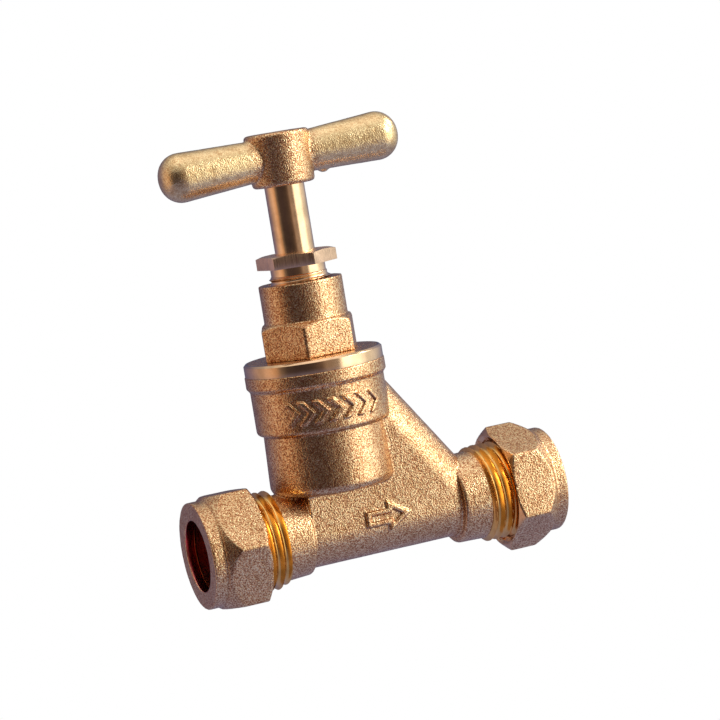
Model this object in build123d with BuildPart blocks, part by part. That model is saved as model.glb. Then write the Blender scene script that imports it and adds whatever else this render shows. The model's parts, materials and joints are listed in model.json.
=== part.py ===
"""Brass screw-down stop valve with compression ends for 15 mm copper pipe.

Frame: the origin is the centre of the inlet pipe mouth. +X runs along the pipe
towards the outlet and +Z runs up along the spindle. Lengths are in millimetres.
The valve is fully open, as it is supplied.
"""
from build123d import *
from math import cos, radians, sin
import os

# ---- driving dimensions -------------------------------------------------------
LENGTH = 80.5              # from the inlet mouth to the outlet mouth
SPINDLE_X = 32.1           # the spindle's axis, from the inlet mouth
PIPE_BORE_R = 7.6          # slides over 15 mm pipe
PIPE_STOP = 17.0           # how deep the pipe goes in at either end
WATERWAY_R = 6.0
RUNNING_GAP = 0.07         # between a shaft and its bore
THREAD_GAP = 0.10          # between a thread's crests and the bore around them

# G 1/2 pipe threads at the two ends
PIPE_THREAD_R = 10.48
PIPE_THREAD_ROOT_R = 9.32
PIPE_THREAD_PITCH = 1.814
BODY_END = 6.8             # the body's end face, in from the mouth
SHOULDER = 17.0            # where the threaded end meets the cast body, in from the mouth
RELIEF_LENGTH = 0.9        # plain groove beside the shoulder
RELIEF_R = 9.0
THREAD_RUNOUT = 0.25       # the thread ends this far short of the groove
MOUTH_CONE_R = 9.0         # widest point of the cone that squeezes the olive

# compression nut
NUT_LENGTH = 12.4
NUT_ACROSS_FLATS = 23.8
NUT_COLLAR_R = 11.3
NUT_COLLAR_LENGTH = 2.8
NUT_OUTER_CHAMFER_R = 11.6
NUT_OUTER_CHAMFER_SLOPE = 1.4  # run along the axis for each millimetre of radius
NUT_INNER_CHAMFER_R = 12.0
NUT_INNER_CHAMFER_SLOPE = 0.65
NUT_WALL = 2.0             # wall round the pipe at the mouth
INLET_NUT_TURN = -6.6      # how each nut happens to stand, in degrees
OUTLET_NUT_TURN = 37.4
OLIVE_R = 8.8
OLIVE_GAP = 0.2

# cast body
TUBE_R = 7.7
INLET_BOSS = (SHOULDER, 23.4)
INLET_BOSS_R = (9.25, 8.85)
OUTLET_BOSS = (57.2, LENGTH - SHOULDER)
OUTLET_BOSS_R = (9.4, 9.6)
BOSS_ROUND = 0.7
DRUM_BOTTOM = 8.3
DRUM_BOTTOM_ROUND = 2.0
DRUM_R_LOW = 13.4          # the lower drum widens downwards, by its casting draft
DRUM_R_WAIST = 12.9
BAND_Z = (21.4, 30.8)      # the thicker band that holds the bonnet's thread
BAND_R = 14.2
BAND_ROUND = 1.0
RIM_R = 14.85
BODY_TOP = 34.1
WEB_TOP_NEAR = (47.1, 28.2)    # two points of the sloping back above the outlet, (x, z)
WEB_TOP_FAR = (59.8, 9.8)
DUCT_R = 5.4
DUCT_OVERRUN = 3.0         # the sloping back runs this much further up, inside the drum
DUCT_START = 2.2           # the bore begins this far below the same point

# raised marks on the casting: an outlined flow arrow, and a row of chevrons round the band
MARK_HEIGHT = 0.6
MARK_LINE = 0.9
ARROW_CENTRE = (40.2, 0.9)     # (x, z) on the flat front
ARROW_LENGTH = 10.0
ARROW_WIDTH = 6.4
CHEVRON_COUNT = 7
CHEVRON_FIRST = -44.0          # degrees round the drum, from the front towards the outlet
CHEVRON_STEP = 12.5
CHEVRON_Z = 26.2
CHEVRON_HEIGHT = 4.6
CHEVRON_WIDTH = 2.1

# chamber and seat
CHAMBER_R = 10.6
CHAMBER_FLOOR = 10.6
SEAT_Z = 12.5
SEAT_BORE_R = 6.2
SEAT_LIP_R = 7.8
BONNET_THREAD_R = 11.9
BONNET_THREAD_PITCH = 1.5
BONNET_THREAD_FLOOR = 25.2
RECESS_R = 13.1            # recess for the bonnet's washer
RECESS_DEPTH = 1.0

# bonnet
FLANGE_TOP = 36.75
FLANGE_R = 14.7
FLANGE_BEVEL = 0.45
BONNET_HEX_TOP = 44.2
BONNET_HEX_ACROSS_FLATS = 18.75
BONNET_HEX_TURN = 6.6
BONNET_NECK_R = 8.85
BONNET_TOP = 52.4
SHANK_BOTTOM = 26.2
SHANK_CAVITY_R = 9.7
SHANK_CAVITY_TOP = 28.6
SPINDLE_THREAD_TOP = 43.3
STUFFING_FLOOR = 44.9
STUFFING_R = 6.0
STUFFING_TOP = 48.2

# gland
GLAND_THREAD_R = 6.58      # G 1/4
GLAND_THREAD_ROOT_R = 5.95
GLAND_THREAD_PITCH = 1.337
GLAND_BOTTOM = 48.4
GLAND_THREAD_TOP = 53.9
GLAND_NECK_R = 5.8
GLAND_HEX_BOTTOM = 55.7
GLAND_TOP = 58.4
GLAND_ACROSS_CORNERS_R = 8.5
GLAND_HEX_TURN = 36.6
GLAND_WASHER_THICKNESS = 0.8
PACKING_RINGS = ("packing_ring_lower", "packing_ring_middle", "packing_ring_upper")

# spindle and handle
LIFT = 7.0                 # from shut to fully open
SPINDLE_R = 4.2
SPINDLE_THREAD_R = 5.6
SPINDLE_THREAD_ROOT_R = 4.7
SPINDLE_THREAD_PITCH = 2.0
SQUARE = 5.6
HUB_Z = (72.6, 83.8)
HUB_R = (6.6, 6.9)
ARM_Z = 78.6
ARM_REACH = 26.5
ARM_R = (4.1, 5.4)         # at the spindle's axis and at the arm's end
ARM_END_ROUND = 4.5
GATE_STUB_R = 1.4          # small lump that the casting's gate left under one arm
GATE_STUB = (9.2, 75.2)    # its distance from the spindle, and its height
ARM_LEAN = 2.3             # the arms stand this far off square to the spindle, in degrees

# jumper
JUMPER_R = 9.2
JUMPER_PLATE = 2.0
JUMPER_STEM_R = 3.0
JUMPER_STUD_R = 2.5
WASHER_R = 9.1
WASHER_THICKNESS = 3.5
JUMPER_NUT_ACROSS_FLATS = 8.0
JUMPER_NUT_THICKNESS = 2.5
JUMPER_SEAT_GAP = 0.1

# ---- working planes and axes --------------------------------------------------
PIPE_AXIS = Axis.X
SPINDLE_AXIS = Axis((SPINDLE_X, 0, 0), (0, 0, 1))
SIDE = Plane.XZ                                              # local x, y = row x, z
SIDE_AT_SPINDLE = Plane((SPINDLE_X, 0, 0), (1, 0, 0), (0, -1, 0))
LEVEL = Plane((SPINDLE_X, 0, 0), (1, 0, 0), (0, 0, 1))       # level plane on the spindle
INLET_MOUTH = Plane((0, 0, 0), (0, -1, 0), (1, 0, 0))        # z points into the valve
OUTLET_MOUTH = Plane((LENGTH, 0, 0), (0, -1, 0), (-1, 0, 0))

os.makedirs("parts", exist_ok=True)


def along(mouth):
    """Plane through a mouth's axis: local x runs along the axis, local y is the radius."""
    return Plane(mouth.origin, mouth.z_dir, mouth.y_dir)


def thread_ridge(base, length, root_r, crest_r, pitch):
    """Right-hand helical thread ridge that starts on a plane and ends square at both ends."""
    embed = 0.08
    axis_point = Vector(base.origin) - Vector(base.z_dir) * pitch
    with BuildPart() as ridge:
        with BuildLine() as path:
            helix = Helix(pitch, length + 2 * pitch, root_r, axis_point, base.z_dir)
        start = helix @ 0
        outward = (start - axis_point).normalized()
        with BuildSketch(Plane(start, outward, helix % 0)):
            with BuildLine():
                Polyline(
                    (-embed, -0.44 * pitch),
                    (crest_r - root_r, -0.09 * pitch),
                    (crest_r - root_r, 0.09 * pitch),
                    (-embed, 0.44 * pitch),
                    close=True,
                )
            make_face()
        sweep(path=path.line, is_frenet=True)
        with BuildSketch(base):
            Circle(crest_r + 1)
        extrude(amount=length, mode=Mode.INTERSECT)
    return ridge.part


def finish(part, name):
    """Name a piece and write it."""
    part.label = name
    export_step(part, f"parts/{name}.step")


# ---- body: casting with the seat, two threaded ends and the bonnet's socket ----
slope = Vector(*WEB_TOP_FAR) - Vector(*WEB_TOP_NEAR)
duct_direction = slope.normalized()
inward = Vector(duct_direction.Y, -duct_direction.X)         # from the sloping back into the metal
duct_top = Vector(*WEB_TOP_NEAR) + inward * TUBE_R
duct_foot = duct_top + duct_direction * (duct_top.Y / -duct_direction.Y)
duct_plane = Plane(
    (duct_top.X, 0, duct_top.Y), (0, 1, 0), (duct_direction.X, 0, duct_direction.Y)
)
duct_length = (duct_foot - duct_top).length

thread_length = SHOULDER - RELIEF_LENGTH - THREAD_RUNOUT - BODY_END
pipe_threads = [
    thread_ridge(
        mouth.offset(BODY_END), thread_length, PIPE_THREAD_ROOT_R, PIPE_THREAD_R, PIPE_THREAD_PITCH
    )
    for mouth in (INLET_MOUTH, OUTLET_MOUTH)
]

with BuildPart() as body:
    # pipe run: threaded ends, bosses and the tube between them
    with BuildSketch(SIDE) as run_profile:
        with BuildLine():
            Polyline(
                (BODY_END, 0),
                (BODY_END, PIPE_THREAD_ROOT_R),
                (SHOULDER - RELIEF_LENGTH, PIPE_THREAD_ROOT_R),
                (SHOULDER - RELIEF_LENGTH, RELIEF_R),
                (SHOULDER, RELIEF_R),
                (SHOULDER, INLET_BOSS_R[0]),
                (INLET_BOSS[1], INLET_BOSS_R[1]),
                (INLET_BOSS[1], TUBE_R),
                (OUTLET_BOSS[0], TUBE_R),
                (OUTLET_BOSS[0], OUTLET_BOSS_R[0]),
                (OUTLET_BOSS[1], OUTLET_BOSS_R[1]),
                (OUTLET_BOSS[1], RELIEF_R),
                (OUTLET_BOSS[1] + RELIEF_LENGTH, RELIEF_R),
                (OUTLET_BOSS[1] + RELIEF_LENGTH, PIPE_THREAD_ROOT_R),
                (LENGTH - BODY_END, PIPE_THREAD_ROOT_R),
                (LENGTH - BODY_END, 0),
                close=True,
            )
        make_face()
        corners = run_profile.vertices()
        fillet(corners.sort_by_distance((INLET_BOSS[1], INLET_BOSS_R[1]))[0], BOSS_ROUND)
        corners = run_profile.vertices()
        fillet(corners.sort_by_distance((OUTLET_BOSS[0], OUTLET_BOSS_R[0]))[0], BOSS_ROUND)
    revolve(axis=PIPE_AXIS)
    for ridge in pipe_threads:
        add(ridge)

    # drum under the bonnet
    with BuildSketch(SIDE_AT_SPINDLE) as drum_profile:
        with BuildLine():
            Polyline(
                (0, DRUM_BOTTOM),
                (DRUM_R_LOW, DRUM_BOTTOM),
                (DRUM_R_WAIST, BAND_Z[0]),
                (BAND_R, BAND_Z[0]),
                (BAND_R, BAND_Z[1]),
                (RIM_R, BAND_Z[1] + 0.8),
                (RIM_R, BODY_TOP),
                (0, BODY_TOP),
                close=True,
            )
        make_face()
        corners = drum_profile.vertices()
        fillet(corners.sort_by_distance((DRUM_R_LOW, DRUM_BOTTOM))[0], DRUM_BOTTOM_ROUND)
        corners = drum_profile.vertices()
        fillet(corners.sort_by_distance((BAND_R, BAND_Z[0]))[0], BAND_ROUND)
    revolve(axis=SPINDLE_AXIS)

    # sloping back over the outlet duct, flat-sided down to the tube
    with BuildSketch(duct_plane.offset(-DUCT_OVERRUN)):
        Circle(TUBE_R)
    extrude(amount=duct_length + DUCT_OVERRUN)
    with Locations((duct_foot.X, 0, 0)):
        Sphere(TUBE_R)
    with BuildSketch(SIDE):
        with BuildLine():
            Polyline(
                (INLET_BOSS[1], 0),
                (INLET_BOSS[1], DRUM_BOTTOM + 2),
                (SPINDLE_X, BAND_Z[0]),
                (duct_top.X, duct_top.Y),
                (duct_foot.X, 0),
                close=True,
            )
        make_face()
    extrude(amount=TUBE_R, both=True)

    # outlined arrow that shows the flow, on the flat front
    half_length = ARROW_LENGTH / 2
    half_width = ARROW_WIDTH / 2
    arrow_plane = Plane((ARROW_CENTRE[0], -TUBE_R + MARK_HEIGHT, ARROW_CENTRE[1]), (1, 0, 0), (0, -1, 0))
    with BuildSketch(arrow_plane) as arrow:
        with BuildLine():
            Polyline(
                (-half_length, -half_width / 2),
                (0, -half_width / 2),
                (0, -half_width),
                (half_length, 0),
                (0, half_width),
                (0, half_width / 2),
                (-half_length, half_width / 2),
                close=True,
            )
        make_face()
        offset(amount=-MARK_LINE, kind=Kind.INTERSECTION, mode=Mode.SUBTRACT)
    extrude(amount=2 * MARK_HEIGHT)

    # row of chevrons round the band, pointing the same way
    for number in range(CHEVRON_COUNT):
        angle = radians(CHEVRON_FIRST + number * CHEVRON_STEP)
        outward = Vector(sin(angle), -cos(angle), 0)
        foot = Vector(SPINDLE_X, 0, CHEVRON_Z) + outward * (BAND_R - 1)
        with BuildSketch(Plane(foot, (cos(angle), sin(angle), 0), outward)):
            with BuildLine():
                half = CHEVRON_HEIGHT / 2
                stroke = 1.5 * MARK_LINE
                left = -CHEVRON_WIDTH / 2 - stroke / 2
                tip = CHEVRON_WIDTH / 2 - stroke / 2
                Polyline(
                    (left, -half),
                    (left + stroke, -half),
                    (tip + stroke, 0),
                    (left + stroke, half),
                    (left, half),
                    (tip, 0),
                    close=True,
                )
            make_face()
        extrude(amount=1 + MARK_HEIGHT)

    # sockets for the pipes, and the waterway under the seat
    for mouth, reach in ((INLET_MOUTH, SPINDLE_X + SEAT_BORE_R), (OUTLET_MOUTH, LENGTH - duct_foot.X)):
        cone = MOUTH_CONE_R - PIPE_BORE_R
        with BuildSketch(along(mouth)):
            with BuildLine():
                Polyline(
                    (0, 0),
                    (0, MOUTH_CONE_R),
                    (BODY_END, MOUTH_CONE_R),
                    (BODY_END + cone, PIPE_BORE_R),
                    (PIPE_STOP, PIPE_BORE_R),
                    (PIPE_STOP, WATERWAY_R),
                    (reach, WATERWAY_R),
                    (reach, 0),
                    close=True,
                )
            make_face()
        revolve(axis=PIPE_AXIS, mode=Mode.SUBTRACT)

    # seat bore, chamber, bonnet thread and washer recess
    with BuildSketch(SIDE_AT_SPINDLE):
        with BuildLine():
            Polyline(
                (0, 0),
                (SEAT_BORE_R, 0),
                (SEAT_BORE_R, SEAT_Z),
                (SEAT_LIP_R, SEAT_Z),
                (SEAT_LIP_R, CHAMBER_FLOOR),
                (CHAMBER_R, CHAMBER_FLOOR),
                (CHAMBER_R, BONNET_THREAD_FLOOR),
                (BONNET_THREAD_R + THREAD_GAP, BONNET_THREAD_FLOOR),
                (BONNET_THREAD_R + THREAD_GAP, BODY_TOP - RECESS_DEPTH),
                (RECESS_R, BODY_TOP - RECESS_DEPTH),
                (RECESS_R, BODY_TOP),
                (0, BODY_TOP),
                close=True,
            )
        make_face()
    revolve(axis=SPINDLE_AXIS, mode=Mode.SUBTRACT)

    # outlet duct, down from the chamber
    with BuildSketch(duct_plane.offset(DUCT_START)):
        Circle(DUCT_R)
    extrude(amount=duct_length - DUCT_START, mode=Mode.SUBTRACT)
    with Locations((duct_foot.X, 0, 0)):
        Sphere(WATERWAY_R, mode=Mode.SUBTRACT)
finish(body.part, "body")


# ---- compression nuts and olives ----------------------------------------------
def compression_nut(mouth, turn):
    """Hexagon nut with a round collar at its mouth and the olive's cone inside."""
    corner_r = NUT_ACROSS_FLATS / 2 / cos(radians(30))
    outer_rise = NUT_OUTER_CHAMFER_SLOPE * (corner_r - NUT_OUTER_CHAMFER_R)
    inner_rise = NUT_INNER_CHAMFER_SLOPE * (corner_r - NUT_INNER_CHAMFER_R)
    profile = along(mouth)
    axis = Axis(mouth.origin, mouth.z_dir)
    with BuildPart() as nut:
        with BuildSketch(mouth.offset(NUT_COLLAR_LENGTH)) as hexagon:
            RegularPolygon(corner_r, 6, rotation=turn)
            fillet(hexagon.vertices(), 0.6)
        extrude(amount=NUT_LENGTH - NUT_COLLAR_LENGTH)
        with BuildSketch(profile):
            with BuildLine():
                Polyline(
                    (0, 0),
                    (0, NUT_OUTER_CHAMFER_R),
                    (NUT_COLLAR_LENGTH, NUT_OUTER_CHAMFER_R),
                    (NUT_COLLAR_LENGTH + outer_rise, corner_r),
                    (NUT_LENGTH - inner_rise, corner_r),
                    (NUT_LENGTH, NUT_INNER_CHAMFER_R),
                    (NUT_LENGTH, 0),
                    close=True,
                )
            make_face()
        revolve(axis=axis, mode=Mode.INTERSECT)
        with BuildSketch(mouth) as collar:
            Circle(NUT_COLLAR_R)
        extrude(amount=NUT_COLLAR_LENGTH)
        thread_r = PIPE_THREAD_R + THREAD_GAP
        cone_top_r = 9.4
        cone_end = NUT_WALL + cone_top_r - PIPE_BORE_R
        with BuildSketch(profile):
            with BuildLine():
                Polyline(
                    (0, 0),
                    (0, PIPE_BORE_R),
                    (NUT_WALL, PIPE_BORE_R),
                    (cone_end, cone_top_r),
                    (cone_end, thread_r),
                    (NUT_LENGTH, thread_r),
                    (NUT_LENGTH, 0),
                    close=True,
                )
            make_face()
        revolve(axis=axis, mode=Mode.SUBTRACT)
    return nut.part


def olive(mouth):
    """Soft brass ring, bevelled at both ends, that grips the pipe."""
    near = NUT_WALL + OLIVE_GAP
    far = BODY_END + MOUTH_CONE_R - PIPE_BORE_R - OLIVE_GAP
    lip = 0.2
    rise = OLIVE_R - PIPE_BORE_R
    with BuildPart() as ring:
        with BuildSketch(along(mouth)):
            with BuildLine():
                Polyline(
                    (near + lip, PIPE_BORE_R),
                    (near + lip, PIPE_BORE_R + lip),
                    (near + rise, OLIVE_R),
                    (far - rise, OLIVE_R),
                    (far - lip, PIPE_BORE_R + lip),
                    (far - lip, PIPE_BORE_R),
                    close=True,
                )
            make_face()
        revolve(axis=Axis(mouth.origin, mouth.z_dir))
    return ring.part


finish(compression_nut(INLET_MOUTH, INLET_NUT_TURN), "inlet_nut")
finish(compression_nut(OUTLET_MOUTH, OUTLET_NUT_TURN), "outlet_nut")
finish(olive(INLET_MOUTH), "inlet_olive")
finish(olive(OUTLET_MOUTH), "outlet_olive")

# ---- bonnet -------------------------------------------------------------------
shank_thread = thread_ridge(
    LEVEL.offset(SHANK_BOTTOM + 0.8),
    BODY_TOP - RECESS_DEPTH - SHANK_BOTTOM - 0.8,
    BONNET_THREAD_R - 0.8,
    BONNET_THREAD_R,
    BONNET_THREAD_PITCH,
)
with BuildPart() as bonnet:
    hex_corner_r = BONNET_HEX_ACROSS_FLATS / 2 / cos(radians(30))
    with BuildSketch(LEVEL.offset(FLANGE_TOP)) as bonnet_hexagon:
        RegularPolygon(hex_corner_r, 6, rotation=BONNET_HEX_TURN)
        fillet(bonnet_hexagon.vertices(), 0.5)
    extrude(amount=BONNET_HEX_TOP - FLANGE_TOP)
    shoulder_drop = 1.0
    with BuildSketch(SIDE_AT_SPINDLE):
        with BuildLine():
            Polyline(
                (0, FLANGE_TOP),
                (hex_corner_r, FLANGE_TOP),
                (hex_corner_r, BONNET_HEX_TOP - shoulder_drop),
                (BONNET_HEX_ACROSS_FLATS / 2, BONNET_HEX_TOP),
                (0, BONNET_HEX_TOP),
                close=True,
            )
        make_face()
    revolve(axis=SPINDLE_AXIS, mode=Mode.INTERSECT)
    with BuildSketch(SIDE_AT_SPINDLE):
        with BuildLine():
            Polyline(
                (0, SHANK_BOTTOM),
                (BONNET_THREAD_R - 0.8, SHANK_BOTTOM),
                (BONNET_THREAD_R - 0.8, BODY_TOP),
                (FLANGE_R, BODY_TOP),
                (FLANGE_R, FLANGE_TOP - FLANGE_BEVEL),
                (FLANGE_R - FLANGE_BEVEL, FLANGE_TOP),
                (BONNET_NECK_R, FLANGE_TOP),
                (BONNET_NECK_R, BONNET_TOP),
                (0, BONNET_TOP),
                close=True,
            )
        make_face()
    revolve(axis=SPINDLE_AXIS)
    add(shank_thread)
    with BuildSketch(SIDE_AT_SPINDLE):
        with BuildLine():
            Polyline(
                (0, SHANK_BOTTOM),
                (SHANK_CAVITY_R, SHANK_BOTTOM),
                (SHANK_CAVITY_R, SHANK_CAVITY_TOP),
                (SPINDLE_THREAD_R + THREAD_GAP, SHANK_CAVITY_TOP + 1.5),
                (SPINDLE_THREAD_R + THREAD_GAP, SPINDLE_THREAD_TOP),
                (SPINDLE_R + RUNNING_GAP, SPINDLE_THREAD_TOP),
                (SPINDLE_R + RUNNING_GAP, STUFFING_FLOOR),
                (STUFFING_R, STUFFING_FLOOR),
                (STUFFING_R, STUFFING_TOP),
                (GLAND_THREAD_R + THREAD_GAP, STUFFING_TOP),
                (GLAND_THREAD_R + THREAD_GAP, BONNET_TOP),
                (0, BONNET_TOP),
                close=True,
            )
        make_face()
    revolve(axis=SPINDLE_AXIS, mode=Mode.SUBTRACT)
finish(bonnet.part, "bonnet")


def ring(low, high, inner_r, outer_r):
    """Plain ring round the spindle."""
    with BuildPart() as piece:
        with BuildSketch(LEVEL.offset(low)):
            Circle(outer_r)
            Circle(inner_r, mode=Mode.SUBTRACT)
        extrude(amount=high - low)
    return piece.part


washer_margin = 0.06
finish(
    ring(
        BODY_TOP - RECESS_DEPTH + washer_margin,
        BODY_TOP - washer_margin,
        BONNET_THREAD_R - 0.7,
        RECESS_R - washer_margin,
    ),
    "bonnet_washer",
)

# ---- gland: packing rings, washer and nut --------------------------------------
ring_margin = 0.03
washer_top = GLAND_BOTTOM - ring_margin
washer_bottom = washer_top - GLAND_WASHER_THICKNESS
ring_pitch = (washer_bottom - STUFFING_FLOOR) / len(PACKING_RINGS)
for level, name in enumerate(PACKING_RINGS):
    floor = STUFFING_FLOOR + level * ring_pitch
    finish(
        ring(
            floor + ring_margin,
            floor + ring_pitch - ring_margin,
            SPINDLE_R + RUNNING_GAP,
            STUFFING_R - ring_margin,
        ),
        name,
    )
finish(
    ring(washer_bottom, washer_top, SPINDLE_R + RUNNING_GAP, STUFFING_R - RUNNING_GAP),
    "gland_washer",
)

gland_thread = thread_ridge(
    LEVEL.offset(GLAND_BOTTOM + 0.4),
    GLAND_THREAD_TOP - GLAND_BOTTOM - 0.4,
    GLAND_THREAD_ROOT_R,
    GLAND_THREAD_R,
    GLAND_THREAD_PITCH,
)
with BuildPart() as gland_nut:
    with BuildSketch(LEVEL.offset(GLAND_HEX_BOTTOM)):
        RegularPolygon(GLAND_ACROSS_CORNERS_R, 6, rotation=GLAND_HEX_TURN)
    extrude(amount=GLAND_TOP - GLAND_HEX_BOTTOM)
    flat_r = GLAND_ACROSS_CORNERS_R * cos(radians(30))
    chamfer_drop = 0.3 * (GLAND_ACROSS_CORNERS_R - flat_r)
    with BuildSketch(SIDE_AT_SPINDLE):
        with BuildLine():
            Polyline(
                (0, GLAND_HEX_BOTTOM),
                (GLAND_ACROSS_CORNERS_R, GLAND_HEX_BOTTOM),
                (GLAND_ACROSS_CORNERS_R, GLAND_TOP - chamfer_drop),
                (flat_r, GLAND_TOP),
                (0, GLAND_TOP),
                close=True,
            )
        make_face()
    revolve(axis=SPINDLE_AXIS, mode=Mode.INTERSECT)
    with BuildSketch(SIDE_AT_SPINDLE):
        with BuildLine():
            Polyline(
                (0, GLAND_BOTTOM),
                (GLAND_THREAD_ROOT_R, GLAND_BOTTOM),
                (GLAND_THREAD_ROOT_R, GLAND_THREAD_TOP),
                (GLAND_NECK_R, GLAND_THREAD_TOP),
                (GLAND_NECK_R, GLAND_HEX_BOTTOM),
                (0, GLAND_HEX_BOTTOM),
                close=True,
            )
        make_face()
    revolve(axis=SPINDLE_AXIS)
    add(gland_thread)
    with BuildSketch(LEVEL.offset(GLAND_BOTTOM)):
        Circle(SPINDLE_R + RUNNING_GAP)
    extrude(amount=GLAND_TOP - GLAND_BOTTOM, mode=Mode.SUBTRACT)
finish(gland_nut.part, "gland_nut")

# ---- jumper: plate, washer and nut, drawn where the open valve holds them ------
washer_low = SEAT_Z + JUMPER_SEAT_GAP + LIFT
plate_low = washer_low + WASHER_THICKNESS
plate_high = plate_low + JUMPER_PLATE
stem_top = plate_high + 9.0
stud_bottom = washer_low - JUMPER_NUT_THICKNESS - 0.6
with BuildPart() as jumper:
    with BuildSketch(SIDE_AT_SPINDLE):
        with BuildLine():
            Polyline(
                (0, stud_bottom),
                (JUMPER_STUD_R, stud_bottom),
                (JUMPER_STUD_R, plate_low),
                (JUMPER_R, plate_low),
                (JUMPER_R, plate_high),
                (JUMPER_STEM_R, plate_high),
                (JUMPER_STEM_R, stem_top),
                (0, stem_top),
                close=True,
            )
        make_face()
    revolve(axis=SPINDLE_AXIS)
finish(jumper.part, "jumper")

finish(
    ring(washer_low, plate_low, JUMPER_STUD_R + THREAD_GAP, WASHER_R),
    "jumper_washer",
)

with BuildPart() as jumper_nut:
    with BuildSketch(LEVEL.offset(washer_low - JUMPER_NUT_THICKNESS)):
        RegularPolygon(JUMPER_NUT_ACROSS_FLATS / 2, 6, major_radius=False)
        Circle(JUMPER_STUD_R + THREAD_GAP, mode=Mode.SUBTRACT)
    extrude(amount=JUMPER_NUT_THICKNESS)
finish(jumper_nut.part, "jumper_nut")

# ---- spindle ------------------------------------------------------------------
spindle_bottom = plate_high + 0.3
spindle_thread_length = SPINDLE_THREAD_TOP - 0.2 - spindle_bottom
spindle_thread = thread_ridge(
    LEVEL.offset(spindle_bottom + 0.5),
    spindle_thread_length - 1.0,
    SPINDLE_THREAD_ROOT_R,
    SPINDLE_THREAD_R,
    SPINDLE_THREAD_PITCH,
)
with BuildPart() as spindle:
    with BuildSketch(SIDE_AT_SPINDLE):
        with BuildLine():
            Polyline(
                (0, spindle_bottom),
                (SPINDLE_THREAD_ROOT_R, spindle_bottom),
                (SPINDLE_THREAD_ROOT_R, spindle_bottom + spindle_thread_length),
                (SPINDLE_R, spindle_bottom + spindle_thread_length),
                (SPINDLE_R, HUB_Z[0]),
                (0, HUB_Z[0]),
                close=True,
            )
        make_face()
    revolve(axis=SPINDLE_AXIS)
    add(spindle_thread)
    with BuildSketch(LEVEL.offset(HUB_Z[0])) as square:
        Rectangle(SQUARE, SQUARE)
        fillet(square.vertices(), 0.7)
    extrude(amount=HUB_Z[1] - HUB_Z[0] - 0.3)
    with BuildSketch(LEVEL.offset(spindle_bottom)):
        Circle(JUMPER_STEM_R + RUNNING_GAP)
    extrude(amount=stem_top + 0.6 - spindle_bottom, mode=Mode.SUBTRACT)
finish(spindle.part, "spindle")

# ---- crutch handle ------------------------------------------------------------
with BuildPart() as handle:
    with BuildSketch(SIDE_AT_SPINDLE) as hub_profile:
        with BuildLine():
            Polyline(
                (0, HUB_Z[0]),
                (HUB_R[0], HUB_Z[0]),
                (HUB_R[1], HUB_Z[1]),
                (0, HUB_Z[1]),
                close=True,
            )
        make_face()
        fillet(hub_profile.vertices().sort_by(Axis.X)[-2:], 0.8)
    revolve(axis=SPINDLE_AXIS)
    for side in (1, -1):
        direction = Vector(side * cos(radians(ARM_LEAN)), 0, side * sin(radians(ARM_LEAN)))
        arm_plane = Plane((SPINDLE_X, 0, ARM_Z), direction, (0, -1, 0))
        with BuildSketch(arm_plane) as arm_profile:
            with BuildLine():
                Polyline((0, 0), (0, ARM_R[0]), (ARM_REACH, ARM_R[1]), (ARM_REACH, 0), close=True)
            make_face()
            far_corners = arm_profile.vertices().sort_by(Axis.X)[-2:]
            fillet(far_corners.sort_by(Axis.Y)[-1], ARM_END_ROUND)
        revolve(axis=Axis(arm_plane.origin, direction))
    with Locations((SPINDLE_X + GATE_STUB[0], 0, GATE_STUB[1])):
        Sphere(GATE_STUB_R)
    with BuildSketch(LEVEL.offset(HUB_Z[0])) as square_hole:
        Rectangle(SQUARE + 0.1, SQUARE + 0.1)
        fillet(square_hole.vertices(), 0.7)
    extrude(amount=HUB_Z[1] - HUB_Z[0], mode=Mode.SUBTRACT)
finish(handle.part, "handle")
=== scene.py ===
"""Looks of the brass stop valve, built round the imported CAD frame. Lengths are in metres."""
import json
import math

import bmesh
import bpy
import numpy as np
from mathutils import Matrix, Vector


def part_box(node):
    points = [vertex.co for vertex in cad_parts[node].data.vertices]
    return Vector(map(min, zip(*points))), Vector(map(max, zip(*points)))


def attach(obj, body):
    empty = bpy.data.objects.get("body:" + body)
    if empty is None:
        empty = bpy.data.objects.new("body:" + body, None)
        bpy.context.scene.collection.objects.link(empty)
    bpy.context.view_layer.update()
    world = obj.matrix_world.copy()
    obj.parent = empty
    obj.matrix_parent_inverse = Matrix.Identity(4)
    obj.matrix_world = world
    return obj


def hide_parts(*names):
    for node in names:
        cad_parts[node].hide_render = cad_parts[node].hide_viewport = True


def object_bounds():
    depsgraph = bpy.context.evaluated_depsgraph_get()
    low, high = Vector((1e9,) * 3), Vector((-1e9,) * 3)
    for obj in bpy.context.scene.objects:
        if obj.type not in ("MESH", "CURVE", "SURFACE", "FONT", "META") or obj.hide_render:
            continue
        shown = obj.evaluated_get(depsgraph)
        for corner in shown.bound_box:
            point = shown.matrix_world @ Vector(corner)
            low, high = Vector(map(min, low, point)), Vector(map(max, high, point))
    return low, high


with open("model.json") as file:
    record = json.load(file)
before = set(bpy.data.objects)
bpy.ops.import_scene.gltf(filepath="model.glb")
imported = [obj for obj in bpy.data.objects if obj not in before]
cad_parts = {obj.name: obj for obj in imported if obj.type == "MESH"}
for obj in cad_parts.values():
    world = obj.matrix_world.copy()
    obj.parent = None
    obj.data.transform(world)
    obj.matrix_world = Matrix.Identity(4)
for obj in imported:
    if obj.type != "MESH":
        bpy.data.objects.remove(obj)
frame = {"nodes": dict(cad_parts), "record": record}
cad_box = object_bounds()

MM = 0.001

# Places that come from the frame
SPINDLE_X = sum(corner.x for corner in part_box("bonnet")) / 2
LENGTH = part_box("outlet_nut")[1].x           # from mouth to mouth
BODY_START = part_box("body")[0].x             # the body's end, inside the inlet nut
FLOOR_Z = cad_box[0].z - 0.3 * MM

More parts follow.
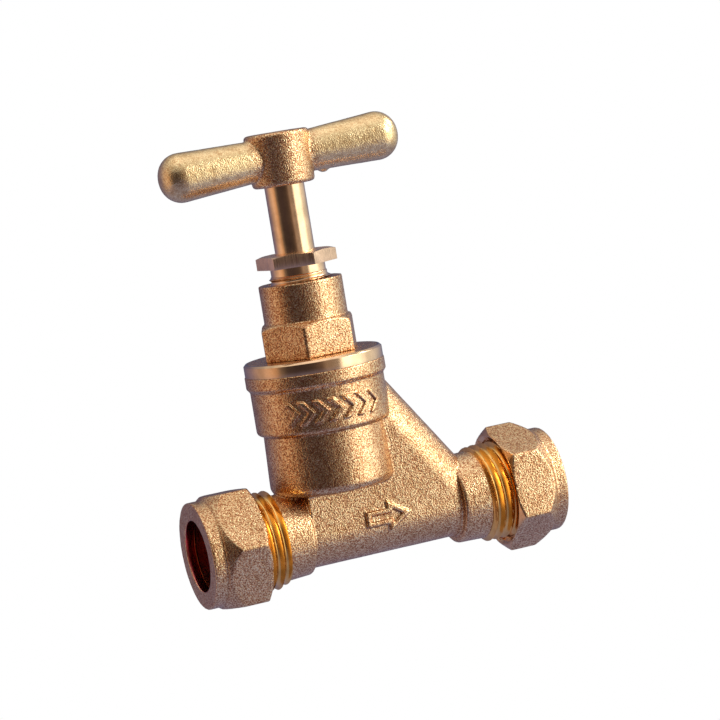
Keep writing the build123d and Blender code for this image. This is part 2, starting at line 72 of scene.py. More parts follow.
UP, DOWN = (0, 0, 1), (0, 0, -1)
SPINDLE_FOOT = (SPINDLE_X, 0, 0)
CAMERA_AZIMUTH = -20.32            # degrees round the valve, from the front


# ---- camera --------------------------------------------------------------------
def add_camera(azimuth, elevation, roll, distance, lens, target):
    """Camera that looks at target, rolled about its view axis (degrees). Returns the way to it."""
    a, e, turn = (math.radians(value) for value in (azimuth, elevation, roll))
    back = Vector((math.sin(a) * math.cos(e), -math.cos(a) * math.cos(e), math.sin(e)))
    level = (-back).cross(Vector((0, 0, 1))).normalized()
    upright = level.cross(-back)
    right = level * math.cos(turn) - upright * math.sin(turn)
    up = level * math.sin(turn) + upright * math.cos(turn)
    data = bpy.data.cameras.new("camera")
    data.lens, data.sensor_width = lens, 36
    data.clip_start, data.clip_end = 0.01, 50
    camera = bpy.data.objects.new("camera", data)
    axes = Matrix((right, up, back)).transposed().to_4x4()
    camera.matrix_world = Matrix.Translation(Vector(target) + back * distance) @ axes
    bpy.context.scene.collection.objects.link(camera)
    bpy.context.scene.camera = camera
    return back


to_camera = add_camera(
    azimuth=CAMERA_AZIMUTH,
    elevation=5.86,
    roll=9.32,
    distance=0.562,
    lens=132.9,
    target=(SPINDLE_X + 10.37 * MM, 0, 33.44 * MM),
)


# ---- mesh helpers --------------------------------------------------------------
WELD = 0.0005 * MM                 # vertices nearer than this are one
ON_CUT = 0.0001 * MM               # vertices nearer than this to a cutting plane lie on it
OFF_FACE = 0.01 * MM               # keeps a cutting plane clear of a flat face


def new_object(name, mesh):
    """Mesh object in the scene, at the origin."""
    obj = bpy.data.objects.new(name, mesh)
    bpy.context.scene.collection.objects.link(obj)
    return obj


def apply_modifiers(obj):
    """Replaces the object's mesh with its evaluated one."""
    graph = bpy.context.evaluated_depsgraph_get()
    graph.update()
    result = bpy.data.meshes.new_from_object(obj.evaluated_get(graph))
    obj.modifiers.clear()
    obj.data = result
    return obj


def smooth_shading(obj, sharp_degrees=None):
    """Smooth shading, with edges over the given angle kept sharp."""
    obj.data.shade_smooth()
    if sharp_degrees is not None:
        obj.data.set_sharp_from_angle(angle=math.radians(sharp_degrees))
    return obj


def cad_copy(node, name, keep=()):
    """Closed copy of a CAD node's mesh.

    keep lists planes as (point, direction). What lies on the direction's side of each stays.
    """
    mesh = frame["nodes"][node].data.copy()
    mesh.materials.clear()
    bm = bmesh.new()
    bm.from_mesh(mesh)
    bmesh.ops.remove_doubles(bm, verts=bm.verts, dist=WELD)
    for point, direction in keep:
        geometry = bm.verts[:] + bm.edges[:] + bm.faces[:]
        cut = bmesh.ops.bisect_plane(
            bm, geom=geometry, plane_co=point, plane_no=direction, clear_inner=True, dist=ON_CUT
        )
        rim = [item for item in cut["geom_cut"] if isinstance(item, bmesh.types.BMEdge)]
        bmesh.ops.triangle_fill(bm, use_beauty=True, use_dissolve=False, edges=rim)
    bmesh.ops.recalc_face_normals(bm, faces=bm.faces)
    bm.to_mesh(mesh)
    bm.free()
    if "custom_normal" in mesh.attributes:
        mesh.attributes.remove(mesh.attributes["custom_normal"])
    mesh.name = name
    return new_object(name, mesh)


UNEVEN_SCALE = 3.5 * MM            # breadth of a casting's uneven patches


def as_cast(obj, voxel, soften, unevenness=0.03 * MM):
    """Turns a crisp solid into a casting: rounded edges and a slightly uneven skin.

    voxel is the size of the new mesh's cells, and soften counts the rounds of smoothing.
    unevenness is how far the skin rises or falls.
    """
    remesh = obj.modifiers.new("skin", "REMESH")
    remesh.mode = "VOXEL"
    remesh.voxel_size = voxel * 1
    apply_modifiers(obj)
    softening = obj.modifiers.new("soften", "SMOOTH")
    softening.factor = 0.5
    softening.iterations = max(2, round(soften / (1)))
    clouds = bpy.data.textures.new(obj.name + "_unevenness", "CLOUDS")
    clouds.noise_scale = UNEVEN_SCALE
    uneven = obj.modifiers.new("uneven", "DISPLACE")
    uneven.texture = clouds
    uneven.texture_coords = "LOCAL"
    uneven.strength = 2 * unevenness
    uneven.mid_level = 0.5
    apply_modifiers(obj)
    return smooth_shading(obj)


def softened(points, radius):
    """Outline with each corner replaced by a short bevel, so that edges catch the light."""
    out = []
    count = len(points)
    for index, point in enumerate(points):
        here = Vector(point)
        before = Vector(points[index - 1]) - here
        after = Vector(points[(index + 1) % count]) - here
        reach = min(radius, before.length * 0.3, after.length * 0.3)
        first = here + before.normalized() * reach
        last = here + after.normalized() * reach
        middle = here * 0.5 + (first + last) * 0.25
        out += [tuple(first), tuple(middle), tuple(last)]
    return out


def turned(name, origin, direction, outline, segments=160, ridge=None):
    """Closed ring swept round an axis from an outline of (along, radius) points, in order.

    ridge(along, angle) adds to the radius, for a thread.
    """
    axis = Vector(direction)
    across = axis.orthogonal().normalized()
    third = axis.cross(across)
    along = np.array([point[0] for point in outline])[None, :]
    radius = np.array([point[1] for point in outline])[None, :]
    angle = (np.arange(segments) * 2 * math.pi / segments)[:, None]
    if ridge is not None:
        radius = radius + ridge(along, angle)
    radius = np.broadcast_to(radius, (segments, along.shape[1]))
    along = np.broadcast_to(along, radius.shape)
    points = (
        np.array(origin)
        + along[..., None] * np.array(axis)
        + (radius * np.cos(angle))[..., None] * np.array(across)
        + (radius * np.sin(angle))[..., None] * np.array(third)
    )
    count = radius.shape[1]
    faces = []
    for turn in range(segments):
        near, far = turn * count, (turn + 1) % segments * count
        for step in range(count):
            after = (step + 1) % count
            faces.append((near + step, far + step, far + after, near + after))
    mesh = bpy.data.meshes.new(name)
    mesh.from_pydata(points.reshape(-1, 3), [], faces)
    bm = bmesh.new()
    bm.from_mesh(mesh)
    bmesh.ops.recalc_face_normals(bm, faces=bm.faces)
    bm.to_mesh(mesh)
    bm.free()
    return smooth_shading(new_object(name, mesh), 40)


CREST_SHIFT = 0.3                  # turns by which the crests lie on from the thread's start
CREST_FLAT = 1.06                  # a little over 1, so that the crests are cut flat
CREST_SHARPNESS = 2.4


def thread_form(start, stop, pitch, depth):
    """Right-hand thread with broad roots and thin crests, as a ridge(along, angle)."""

    def ridge(along, angle):
        phase = (along - start) / pitch - angle / (2 * math.pi) - CREST_SHIFT
        wave = np.abs((phase % 1.0) * 2 - 1)      # 0 at a root, 1 at a crest
        profile = np.minimum(CREST_FLAT * wave**CREST_SHARPNESS, 1)
        run_in = np.clip((along - start) / (0.5 * pitch), 0, 1)
        run_out = np.clip((stop - along) / (0.5 * pitch), 0, 1)
        return depth * profile * run_in * run_out

    return ridge


def only_at(root, outline, form):
    """The thread form on the outline's points at its root radius, and nothing elsewhere."""
    on_root = (np.abs(np.array([point[1] for point in outline]) - root) < 1e-9)[None, :]
    return lambda along, angle: form(along, angle) * on_root


def steps(start, stop, radius, spacing):
    """Points along a straight line at one radius."""
    count = max(2, round(abs(stop - start) / spacing))
    return [(start + (stop - start) * k / count, radius) for k in range(count + 1)]


# ---- materials -----------------------------------------------------------------
class Material:
    """Builder of a principled material, with the object coordinates at hand."""

    def __init__(self, name, metallic=1.0):
        self.material = bpy.data.materials.new(name)
        self.material.use_nodes = True
        self.tree = self.material.node_tree
        self.shader = self.tree.nodes["Principled BSDF"]
        self.shader.inputs["Metallic"].default_value = metallic
        self.coords = self.add("ShaderNodeTexCoord").outputs["Object"]

    def add(self, kind, **settings):
        """New node; settings that name an input set it, the others are the node's own properties."""
        node = self.tree.nodes.new(kind)
        for key, value in settings.items():
            label = key.replace("_", " ").title()
            if label in node.inputs:
                node.inputs[label].default_value = value
            else:
                setattr(node, key, value)
        return node

    def link(self, source, target):
        self.tree.links.new(source, target)

    def noise(self, scale, detail=3.0, roughness=0.6, stretch=None, offset=0.0):
        """Noise over the object, with scale in waves per metre."""
        mapping = self.add("ShaderNodeMapping")
        mapping.inputs["Location"].default_value = (offset, offset, offset)
        if stretch is None:
            # turned, because noise fades out on flat faces that lie on its lattice
            mapping.inputs["Rotation"].default_value = (0.6, 0.4, 0.9)
        else:
            mapping.inputs["Scale"].default_value = stretch
        self.link(self.coords, mapping.inputs["Vector"])
        node = self.add("ShaderNodeTexNoise", scale=scale, detail=detail, roughness=roughness)
        self.link(mapping.outputs["Vector"], node.inputs["Vector"])
        return node.outputs["Fac"]

    def ramp(self, source, *stops):
        """Colour ramp from (position, colour) stops; a plain number is a grey."""
        node = self.add("ShaderNodeValToRGB")
        elements = node.color_ramp.elements
        while len(elements) < len(stops):
            elements.new(0.5)
        for element, (position, colour) in zip(elements, stops):
            element.position = position
            element.color = (*colour, 1) if isinstance(colour, tuple) else (colour, colour, colour, 1)
        self.link(source, node.inputs["Fac"])
        return node.outputs["Color"]

    def spread(self, source, low, high, top):
        """Rises smoothly from 0 where source is low to top where it is high."""
        node = self.add("ShaderNodeMapRange", interpolation_type="SMOOTHSTEP")
        self.link(source, node.inputs["Value"])
        node.inputs["From Min"].default_value = low
        node.inputs["From Max"].default_value = high
        node.inputs["To Max"].default_value = top
        return node.outputs["Result"]

    def mix(self, kind, factor, first, second):
        """Colour mix; factor and both colours may be sockets or values."""
        node = self.add("ShaderNodeMix", data_type="RGBA", blend_type=kind)
        sockets = [node.inputs[0], node.inputs[6], node.inputs[7]]     # factor, A and B of a colour mix
        for socket, value in zip(sockets, (factor, first, second)):
            if isinstance(value, bpy.types.NodeSocket):
                self.link(value, socket)
            elif isinstance(value, tuple):
                socket.default_value = (*value, 1)
            else:
                socket.default_value = value
        return node.outputs[2]

    def bump(self, height, distance, strength=1.0, after=None):
        """Bump from a height socket; distance is its depth in metres."""
        node = self.add("ShaderNodeBump", strength=strength, distance=distance)
        self.link(height, node.inputs["Height"])
        if after is not None:
            self.link(after, node.inputs["Normal"])
        return node.outputs["Normal"]


GRAIN_DEPTH = 0.085 * MM
DIMPLE_DEPTH = 0.05 * MM
FACED_LOOK = ((0.86, 0.56, 0.31), 0.10)      # colour and roughness where a nut's end is machined
WORN_LOOK = ((1.0, 0.87, 0.52), 0.28)        # and where hands have rubbed the handle
WORN_SHARE = 0.55


def faced_share(look, way):
    """1 on faces that look along X the given way (1 or -1), 0 on the others."""
    normal = look.add("ShaderNodeSeparateXYZ")
    look.link(look.add("ShaderNodeNewGeometry").outputs["Normal"], normal.inputs[0])
    return look.spread(normal.outputs["X"], 0.40 * way, 0.60 * way, 1.0)


def worn_share(look):
    """Rises from 0 on the hub to WORN_SHARE on the arms, by the distance from the spindle."""
    position = look.add("ShaderNodeSeparateXYZ")
    look.link(look.coords, position.inputs[0])
    aside = look.add("ShaderNodeMath", operation="SUBTRACT")
    look.link(position.outputs["X"], aside.inputs[0])
    aside.inputs[1].default_value = SPINDLE_X
    reach = look.add("ShaderNodeMath", operation="ABSOLUTE")
    look.link(aside.outputs[0], reach.inputs[0])
    return look.spread(reach.outputs[0], 5 * MM, 9 * MM, WORN_SHARE)


def cast_brass(name, seed, depth=GRAIN_DEPTH, faced=0, worn=False):
    """Shot-blasted brass: fine bright grain, darker dimples, and painted shade in the hollows.

    depth is the height of the grain. faced is the way along X, 1 or -1, that a machined end looks.
    worn rubs part of the grain away from what lies far from the spindle.
    """
    look = Material(name)
    grain = look.noise(3600, detail=1, roughness=0.5, offset=seed)
    dimples = look.noise(1000, detail=2, offset=seed)
    patches = look.noise(160, detail=3, offset=seed)
    colour = look.ramp(
        grain,
        (0.375, (0.40, 0.18, 0.095)),
        (0.50, (0.83, 0.49, 0.27)),
        (0.62, (1.0, 0.85, 0.54)),
    )
    rough = look.ramp(grain, (0.35, 0.34), (0.65, 0.22))
    height = grain
    if faced or worn:
        smooth = faced_share(look, faced) if faced else worn_share(look)
        plain, plain_rough = FACED_LOOK if faced else WORN_LOOK
        colour = look.mix("MIX", smooth, colour, plain)
        rough = look.mix("MIX", smooth, rough, (plain_rough, plain_rough, plain_rough))
        height = look.mix("MIX", smooth, height, (0.5, 0.5, 0.5))
    tint = look.ramp(patches, (0.3, (0.86, 0.80, 0.74)), (0.7, (1.0, 1.0, 1.0)))
    mottle = look.ramp(dimples, (0.36, (0.81, 0.74, 0.68)), (0.50, (1.0, 1.0, 1.0)))
    # painted shade: concave creases and the edges round raised marks are darkened by their pointiness
    edges = look.add("ShaderNodeNewGeometry").outputs["Pointiness"]
    painted_crease_shade = look.ramp(edges, (0.40, (0.42, 0.32, 0.28)), (0.49, (1.0, 1.0, 1.0)))
    for shade in (tint, mottle, painted_crease_shade):
        colour = look.mix("MULTIPLY", 1.0, colour, shade)
    look.link(colour, look.shader.inputs["Base Color"])
    look.link(rough, look.shader.inputs["Roughness"])
    normal = look.bump(dimples, DIMPLE_DEPTH, after=look.bump(height, depth))
    look.link(normal, look.shader.inputs["Normal"])
    return look.material


def machined_brass(name, colour, axis, roughness=0.16, line_depth=0.004 * MM, drawn=False):
    """Brass with fine tool lines round the given axis, or along it where the bar was drawn."""
    look = Material(name)
    fine, coarse = (0.04, 1.0) if drawn else (1.0, 0.02)
    stretch = tuple(fine if here == axis else coarse for here in "XYZ")
    lines = look.noise(3500 if drawn else 9000, detail=2, stretch=stretch)
    stains = look.noise(220, detail=4, roughness=0.6)
    dark = tuple(0.72 * channel for channel in colour)
    tinted = look.ramp(stains, (0.35, dark), (0.6, colour))
    look.link(tinted, look.shader.inputs["Base Color"])
    rough = look.ramp(lines, (0.3, roughness * 1.5), (0.7, roughness * 0.8))
    look.link(rough, look.shader.inputs["Roughness"])
    look.link(look.bump(lines, line_depth), look.shader.inputs["Normal"])
    return look.material


def plain_surface(name, colour, roughness, grain_scale, grain_depth):
    """Rubber, fibre or packing: a mottled colour and a faint grain."""
    look = Material(name, metallic=0.0)
    grain = look.noise(grain_scale, detail=3)
    dark = tuple(0.6 * channel for channel in colour)
    look.link(look.ramp(grain, (0.3, dark), (0.7, colour)), look.shader.inputs["Base Color"])
    look.shader.inputs["Roughness"].default_value = roughness
    look.link(look.bump(grain, grain_depth), look.shader.inputs["Normal"])
    return look.material


CAST_BODY = cast_brass("cast_brass_body", 0.0)
CAST_INLET_NUT = cast_brass("cast_brass_inlet_nut", 1.7, faced=1)
CAST_OUTLET_NUT = cast_brass("cast_brass_outlet_nut", 2.3, faced=-1)
CAST_HANDLE = cast_brass("cast_brass_handle", 3.1, depth=1.5 * GRAIN_DEPTH, worn=True)
POLISHED = machined_brass("polished_brass", (0.93, 0.66, 0.43), "Z", roughness=0.13)
TURNED = machined_brass("turned_brass", (0.88, 0.62, 0.36), "Z", roughness=0.22)
THREAD = machined_brass("thread_brass", (0.97, 0.58, 0.19), "X", roughness=0.14)
DRAWN = machined_brass(
    "drawn_brass", (1.0, 0.71, 0.50), "Z", roughness=0.28, line_depth=0.03 * MM, drawn=True
)
# painted reflection: brass reddened to the deep red of light bounced round inside a bore
BORE_PAINTED_REFLECTION = machined_brass("bore_brass_painted_reflection", (0.74, 0.18, 0.19), "X", roughness=0.12)
OLIVE = machined_brass("olive_brass", (0.80, 0.36, 0.27), "X", roughness=0.18)
FIBRE = plain_surface("red_fibre", (0.30, 0.07, 0.05), 0.7, 1500, 0.02 * MM)
RUBBER = plain_surface("black_rubber", (0.03, 0.03, 0.03), 0.6, 1200, 0.01 * MM)
PACKING = plain_surface("white_packing", (0.82, 0.82, 0.78), 0.5, 1200, 0.01 * MM)


# ---- pieces --------------------------------------------------------------------
RECORD = frame["record"]
BODY_OF = {node: body for body, nodes in RECORD["behaviour"]["bodies"].items() for node in nodes}


def place(obj, material, node):
    """Gives a piece its material and slot, and makes it ride and stand for its CAD node."""
    obj.data.materials.clear()
    obj.data.materials.append(material)
    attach(obj, BODY_OF[node])
    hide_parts(node)


# pipe ends; lengths along them are counted in from the mouths, and bores and roots are radii
SHOULDER = 17.0 * MM               # where the threaded ends meet the casting
SHOULDER_LAP = 0.3 * MM            # they run on into it by this much
PIPE_STOP = 17.0 * MM
PIPE_BORE = 7.6 * MM
SOCKET_START = BODY_START + 1.5 * MM
SOCKET_OUTSIDE = 7.75 * MM         # the smooth lining of the pipe's socket
OLIVE_CONE = 9.0 * MM              # widest part of the cone that the olive is pressed into
WATERWAY = 6.0 * MM
THREAD_ROOT = 9.32 * MM
THREAD_DEPTH = 1.16 * MM
PIPE_PITCH = 1.814 * MM
NUT_WALL = 2.0 * MM
NUT_LENGTH = 12.4 * MM
NUT_BORE = 10.58 * MM

# body: casting between the shoulders, and a machined thread at each end
casting = cad_copy(
    "body",
    "body_casting",
    keep=[((SHOULDER, 0, 0), (1, 0, 0)), ((LENGTH - SHOULDER, 0, 0), (-1, 0, 0))],
)
place(as_cast(casting, voxel=0.17 * MM, soften=4), CAST_BODY, "body")


def threaded_end(name, mouth_x, direction):
    """Machined pipe end: the thread outside, the cone for the olive and the socket inside."""
    start, stop = BODY_START, SHOULDER + SHOULDER_LAP
    outline = [(start, OLIVE_CONE), (start, THREAD_ROOT - 0.1 * MM)]
    outline += steps(start + 0.05 * MM, stop, THREAD_ROOT, PIPE_PITCH / 28)
    outline += [(stop, WATERWAY), (PIPE_STOP, WATERWAY), (PIPE_STOP, SOCKET_OUTSIDE)]
    outline += [(start + OLIVE_CONE - SOCKET_OUTSIDE, SOCKET_OUTSIDE)]
    form = thread_form(start, SHOULDER + PIPE_PITCH / 2, PIPE_PITCH, THREAD_DEPTH)
    ridge = only_at(THREAD_ROOT, outline, form)
    return turned(name, (mouth_x, 0, 0), direction, outline, segments=180, ridge=ridge)


def sleeve(name, mouth_x, direction, start, stop, inner_r, outer_r):
    """Smooth lining of a bore, with slightly broken edges."""
    outline = [(start, inner_r), (stop, inner_r), (stop, outer_r), (start, outer_r)]
    return turned(name, (mouth_x, 0, 0), direction, softened(outline, 0.1 * MM), 180)


def countersunk(nut, mouth_x, direction, depth=1.3 * MM):
    """Opens the nut's thread with a cone at its inner face."""
    start, stop = NUT_LENGTH - depth, NUT_LENGTH + 0.2 * MM
    inside = 9 * MM
    outline = [(start, inside), (stop, inside), (stop, NUT_BORE + stop - start), (start, NUT_BORE)]
    cutter = turned("countersink", (mouth_x, 0, 0), direction, outline, 120)
    cut = nut.modifiers.new("countersink", "BOOLEAN")
    cut.object = cutter
    cut.operation = "DIFFERENCE"
    apply_modifiers(nut)
    bpy.data.objects.remove(cutter)
    return nut


for end, mouth_x, direction, nut_look in (
    ("inlet", 0, (1, 0, 0), CAST_INLET_NUT),
    ("outlet", LENGTH, (-1, 0, 0), CAST_OUTLET_NUT),
):
    thread = threaded_end(f"{end}_thread", mouth_x, direction)
    place(thread, THREAD, "body")
    # the socket lining carries the painted red reflection of the bore
    socket = sleeve(
        f"{end}_socket", mouth_x, direction, SOCKET_START, PIPE_STOP, PIPE_BORE, SOCKET_OUTSIDE
    )
    place(socket, BORE_PAINTED_REFLECTION, "body")

    nut = countersunk(cad_copy(f"{end}_nut", f"{end}_nut_casting"), mouth_x, direction)
    nut = as_cast(nut, voxel=0.2 * MM, soften=6, unevenness=0.02 * MM)
    place(nut, nut_look, f"{end}_nut")
    inner_r, outer_r = PIPE_BORE - 0.04 * MM, PIPE_BORE + 0.3 * MM
    # the nut mouth's lining carries the same painted red reflection
    mouth = sleeve(f"{end}_nut_bore", mouth_x, direction, 0.12 * MM, NUT_WALL, inner_r, outer_r)
    place(mouth, BORE_PAINTED_REFLECTION, f"{end}_nut")

# bonnet: cast head, threaded shank, and a flange with a turned edge and a cast face
BODY_TOP = 34.1 * MM
FLANGE_TOP = 36.75 * MM
FLANGE_R = 14.7 * MM
FLANGE_INSIDE = 8 * MM             # inner radius, hidden under the head
FLANGE_BEVEL = 0.45 * MM
FACE_R = FLANGE_R - 1.6 * FLANGE_BEVEL
head = cad_copy("bonnet", "bonnet_head", keep=[((0, 0, FLANGE_TOP + OFF_FACE), UP)])
place(as_cast(head, voxel=0.2 * MM, soften=8, unevenness=0.02 * MM), CAST_BODY, "bonnet")
shank = cad_copy("bonnet", "bonnet_shank", keep=[((0, 0, BODY_TOP - OFF_FACE), DOWN)])
place(smooth_shading(shank, 35), TURNED, "bonnet")
# inside its bevelled rim the flange is 0.3 mm lower, and the cast face fills that up
flange_outline = [
    (BODY_TOP, 10 * MM),
    (BODY_TOP, FLANGE_R),
    (FLANGE_TOP - FLANGE_BEVEL, FLANGE_R),
    (FLANGE_TOP, FLANGE_R - FLANGE_BEVEL),
    (FLANGE_TOP, FLANGE_R - 2 * FLANGE_BEVEL),
    (FLANGE_TOP - 0.3 * MM, FLANGE_R - 3 * FLANGE_BEVEL),
    (FLANGE_TOP - 0.3 * MM, FLANGE_INSIDE),
    (BODY_TOP + 0.5 * MM, FLANGE_INSIDE),
]
flange = turned("bonnet_flange", SPINDLE_FOOT, UP, softened(flange_outline, 0.06 * MM), 256)
place(flange, POLISHED, "bonnet")
face_outline = [
    (FLANGE_TOP - 0.4 * MM, FLANGE_INSIDE),
    (FLANGE_TOP - 0.4 * MM, FACE_R),
    (FLANGE_TOP, FACE_R),
    (FLANGE_TOP, FLANGE_INSIDE),
]
face = turned("bonnet_face", SPINDLE_FOOT, UP, softened(face_outline, 0.1 * MM), 256)
place(face, CAST_BODY, "bonnet")

# gland nut: hexagon, and its shank with the fine thread
GLAND_HEX = 55.7 * MM              # underside of the hexagon
GLAND_START, GLAND_STOP = 48.4 * MM, 53.9 * MM
GLAND_ROOT, GLAND_NECK, GLAND_BORE = 5.95 * MM, 5.8 * MM, 4.3 * MM
GLAND_PITCH, GLAND_DEPTH = 1.337 * MM, 0.63 * MM
hexagon = cad_copy("gland_nut", "gland_hexagon", keep=[((0, 0, GLAND_HEX + OFF_FACE), UP)])
bevel = hexagon.modifiers.new("bevel", "BEVEL")
bevel.width = 0.09 * MM
bevel.segments = 2
bevel.limit_method = "ANGLE"
bevel.angle_limit = math.radians(20)
place(smooth_shading(apply_modifiers(hexagon), 30), DRAWN, "gland_nut")
gland_outline = [(GLAND_START, GLAND_BORE), (GLAND_START, GLAND_NECK)]
gland_outline += steps(GLAND_START + 0.1 * MM, GLAND_STOP, GLAND_ROOT, 0.05 * MM)
gland_outline += [(GLAND_STOP + 0.1 * MM, GLAND_NECK), (GLAND_HEX + 0.2 * MM, GLAND_NECK)]
gland_outline += [(GLAND_HEX + 0.2 * MM, GLAND_BORE)]
gland_form = thread_form(GLAND_START + 0.2 * MM, GLAND_STOP, GLAND_PITCH, GLAND_DEPTH)
gland_ridge = only_at(GLAND_ROOT, gland_outline, gland_form)
gland_shank = turned("gland_shank", SPINDLE_FOOT, UP, gland_outline, ridge=gland_ridge)
place(gland_shank, POLISHED, "gland_nut")

# spindle, handle
STEM_R, STEM_INSIDE = 4.2 * MM, 3.3 * MM
STEM_BOTTOM, STEM_TOP = 43.1 * MM, 72.6 * MM       # between the thread and the square
stem_outline = [(STEM_BOTTOM, STEM_INSIDE)]
stem_outline += steps(STEM_BOTTOM, STEM_TOP + 0.3 * MM, STEM_R, 1.0 * MM)
stem_outline += [(STEM_TOP + 0.3 * MM, STEM_INSIDE)]
place(turned("spindle_stem", SPINDLE_FOOT, UP, stem_outline, 256), POLISHED, "spindle")
lower = cad_copy("spindle", "spindle_thread", keep=[((0, 0, STEM_BOTTOM + 0.1 * MM), DOWN)])
place(smooth_shading(lower, 35), TURNED, "spindle")
square = cad_copy("spindle", "spindle_square", keep=[((0, 0, STEM_TOP + OFF_FACE), UP)])
place(smooth_shading(square, 35), TURNED, "spindle")
handle = cad_copy("handle", "handle_casting")
place(as_cast(handle, voxel=0.22 * MM, soften=12), CAST_HANDLE, "handle")

# inner pieces keep their CAD shape, and get their material on the object's own slot
INNER = {
    "inlet_olive": OLIVE,
    "outlet_olive": OLIVE,
    "gland_washer": TURNED,
    "jumper": TURNED,
    "jumper_nut": TURNED,
    "jumper_washer": RUBBER,
    "bonnet_washer": FIBRE,
    "packing_ring_lower": PACKING,
    "packing_ring_middle": PACKING,
    "packing_ring_upper": PACKING,
}
for node, material in INNER.items():
    for material_slot in frame["nodes"][node].material_slots:
        material_slot.link = "OBJECT"
        material_slot.material = material


# ---- stage, light and world ----------------------------------------------------
FLOOR_REACH = 12                   # metres each way
SOFTBOX_COLOUR = (1.0, 0.97, 0.88)


def add_floor():
    """Pale floor. It looks white to the camera, stays out of the metal's reflections, and is a dim
    bench to other rays.
    """
    mesh = bpy.data.meshes.new("floor")
    reach = FLOOR_REACH
    corners = [(-reach, -reach), (reach, -reach), (reach, reach), (-reach, reach)]
    mesh.from_pydata([(x, y, FLOOR_Z) for x, y in corners], [], [(0, 1, 2, 3)])
    floor = new_object("floor", mesh)
    material = bpy.data.materials.new("floor")
    material.use_nodes = True
    tree = material.node_tree
    tree.nodes.remove(tree.nodes["Principled BSDF"])
    seen = tree.nodes.new("ShaderNodeEmission")
    seen.inputs["Color"].default_value = (1, 1, 1, 1)
    seen.inputs["Strength"].default_value = 1.0
    bench = tree.nodes.new("ShaderNodeBsdfDiffuse")
    bench.inputs["Color"].default_value = (0.15, 0.16, 0.26, 1)
    path = tree.nodes.new("ShaderNodeLightPath")
    mix = tree.nodes.new("ShaderNodeMixShader")
    tree.links.new(path.outputs["Is Camera Ray"], mix.inputs["Fac"])
    tree.links.new(bench.outputs["BSDF"], mix.inputs[1])
    tree.links.new(seen.outputs["Emission"], mix.inputs[2])
    tree.links.new(mix.outputs["Shader"], tree.nodes["Material Output"].inputs["Surface"])
    mesh.materials.append(material)
    floor.visible_glossy = False


def add_softbox(name, azimuth, elevation, distance, width, height, power):
    """Rectangular soft light that faces the valve; azimuth counts from the camera, to its right."""
    aim = Vector((SPINDLE_X, 0, 35 * MM))
    turn = math.radians(CAMERA_AZIMUTH + azimuth)
    rise = math.radians(elevation)
    outward = Vector(
        (math.sin(turn) * math.cos(rise), -math.cos(turn) * math.cos(rise), math.sin(rise))
    )
    data = bpy.data.lights.new(name, "AREA")
    data.shape = "RECTANGLE"
    data.size, data.size_y = width, height
    data.energy = power
    data.color = SOFTBOX_COLOUR
    light = bpy.data.objects.new(name, data)
    light.location = aim + outward * distance
    light.rotation_euler = outward.to_track_quat("Z", "Y").to_euler()
    light.visible_camera = False
    bpy.context.scene.collection.objects.link(light)


# Brightness of the room by the angle from the camera (degrees, to its right)
ROOM = [
    (-180, (0.022, 0.026, 0.05)),
    (-142, (0.06, 0.052, 0.08)),
    (-126, (0.08, 0.066, 0.092)),
    (-112, (0.13, 0.098, 0.098)),
    (-97, (0.18, 0.128, 0.10)),
    (-86, (0.24, 0.165, 0.125)),
    (-76, (0.235, 0.155, 0.105)),
    (-66, (0.19, 0.115, 0.068)),
    (-56, (0.06, 0.045, 0.035)),
    (-44, (0.019, 0.014, 0.013)),
    (-20, (0.017, 0.012, 0.012)),
    (4, (0.024, 0.017, 0.014)),
    (14, (0.045, 0.03, 0.023)),
    (22, (0.12, 0.09, 0.07)),
    (43, (0.10, 0.083, 0.07)),
    (52, (0.66, 0.63, 0.55)),
    (84, (0.61, 0.60, 0.54)),
    (100, (0.30, 0.30, 0.27)),
    (118, (0.24, 0.24, 0.23)),
    (150, (0.11, 0.11, 0.14)),
    (180, (0.022, 0.026, 0.05)),
]
# The same by the height of the direction (-1 straight down, 1 straight up), and how much of it shows
HEIGHT = [
    (-1.0, (0.09, 0.09, 0.14)),
    (-0.2, (0.085, 0.08, 0.13)),
    (0.4, (0.14, 0.13, 0.12)),
    (0.84, (0.24, 0.22, 0.19)),
    (0.96, (0.38, 0.34, 0.31)),
    (1.0, (0.38, 0.34, 0.31)),
]
HEIGHT_SHARE = [
    (-1.0, (1.0, 1.0, 1.0)),
    (-0.62, (0.9, 0.9, 0.9)),
    (-0.22, (0, 0, 0)),
    (0.38, (0, 0, 0)),
    (0.72, (0.9, 0.9, 0.9)),
    (1.0, (1, 1, 1)),
]
ROOM_STRENGTH = 3.35


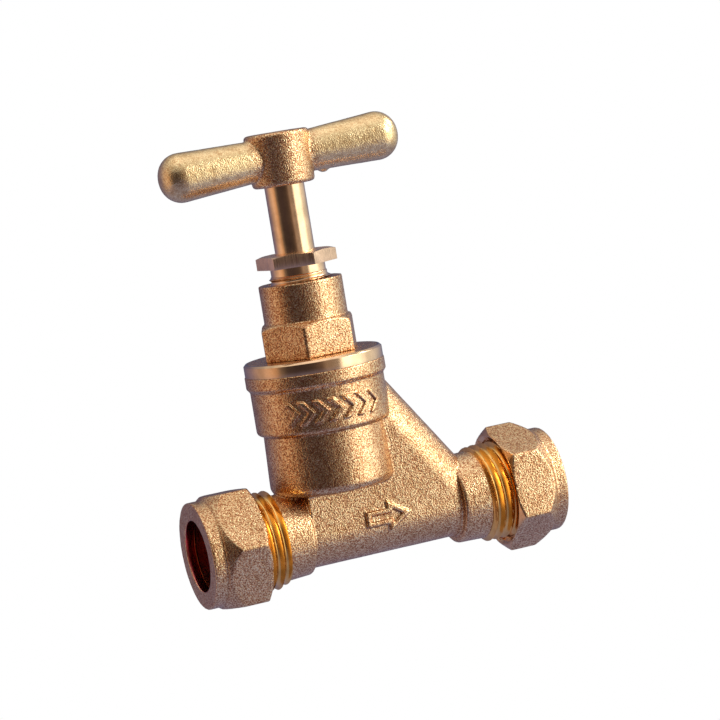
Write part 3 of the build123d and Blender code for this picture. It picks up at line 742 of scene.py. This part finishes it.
def set_world():
    """White behind the valve for the camera, and in the metal a room, bright to the camera's right."""
    scene = bpy.context.scene
    scene.view_settings.view_transform = "Standard"
    world = bpy.data.worlds.new("studio")
    scene.world = world
    world.use_nodes = True
    tree = world.node_tree

    def add(kind, **settings):
        node = tree.nodes.new(kind)
        for key, value in settings.items():
            setattr(node, key, value)
        return node

    def along(direction):
        """How far the way that is looked points along the given one."""
        dot = add("ShaderNodeVectorMath", operation="DOT_PRODUCT")
        dot.inputs[1].default_value = direction
        tree.links.new(coords.outputs["Generated"], dot.inputs[0])
        return dot.outputs["Value"]

    def ramp(source, low, high, stops):
        """Colour by the value of source, from stops of (value, colour)."""
        spread = add("ShaderNodeMapRange")
        spread.inputs["From Min"].default_value = low
        spread.inputs["From Max"].default_value = high
        tree.links.new(source, spread.inputs["Value"])
        node = add("ShaderNodeValToRGB")
        elements = node.color_ramp.elements
        while len(elements) < len(stops):
            elements.new(0.5)
        for element, (value, colour) in zip(elements, stops):
            element.position = (value - low) / (high - low)
            element.color = (*colour, 1)
        tree.links.new(spread.outputs["Result"], node.inputs["Fac"])
        return node.outputs["Color"]

    coords = add("ShaderNodeTexCoord")
    forward = Vector((to_camera.x, to_camera.y, 0)).normalized()
    sideways = Vector((-forward.y, forward.x, 0))
    azimuth = add("ShaderNodeMath", operation="ARCTAN2")
    tree.links.new(along(sideways), azimuth.inputs[0])
    tree.links.new(along(forward), azimuth.inputs[1])
    walls = [(math.radians(angle), colour) for angle, colour in ROOM]
    round_room = ramp(azimuth.outputs[0], -math.pi, math.pi, walls)
    overhead = ramp(along(UP), -1.0, 1.0, HEIGHT)
    blend = ramp(along(UP), -1.0, 1.0, HEIGHT_SHARE)
    mixed = add("ShaderNodeMix", data_type="RGBA")
    tree.links.new(blend, mixed.inputs[0])
    tree.links.new(round_room, mixed.inputs[6])
    tree.links.new(overhead, mixed.inputs[7])
    room = tree.nodes["Background"]
    room.inputs["Strength"].default_value = ROOM_STRENGTH
    tree.links.new(mixed.outputs[2], room.inputs["Color"])
    seen = add("ShaderNodeBackground")
    seen.inputs["Color"].default_value = (1, 1, 1, 1)
    path = add("ShaderNodeLightPath")
    chosen = add("ShaderNodeMixShader")
    tree.links.new(path.outputs["Is Camera Ray"], chosen.inputs["Fac"])
    tree.links.new(room.outputs["Background"], chosen.inputs[1])
    tree.links.new(seen.outputs["Background"], chosen.inputs[2])
    tree.links.new(chosen.outputs["Shader"], tree.nodes["World Output"].inputs["Surface"])


add_floor()
set_world()
add_softbox("key", azimuth=72, elevation=26, distance=1.0, width=0.25, height=0.5, power=2.7)
add_softbox("rim", azimuth=112, elevation=34, distance=1.0, width=0.3, height=0.4, power=2.6)
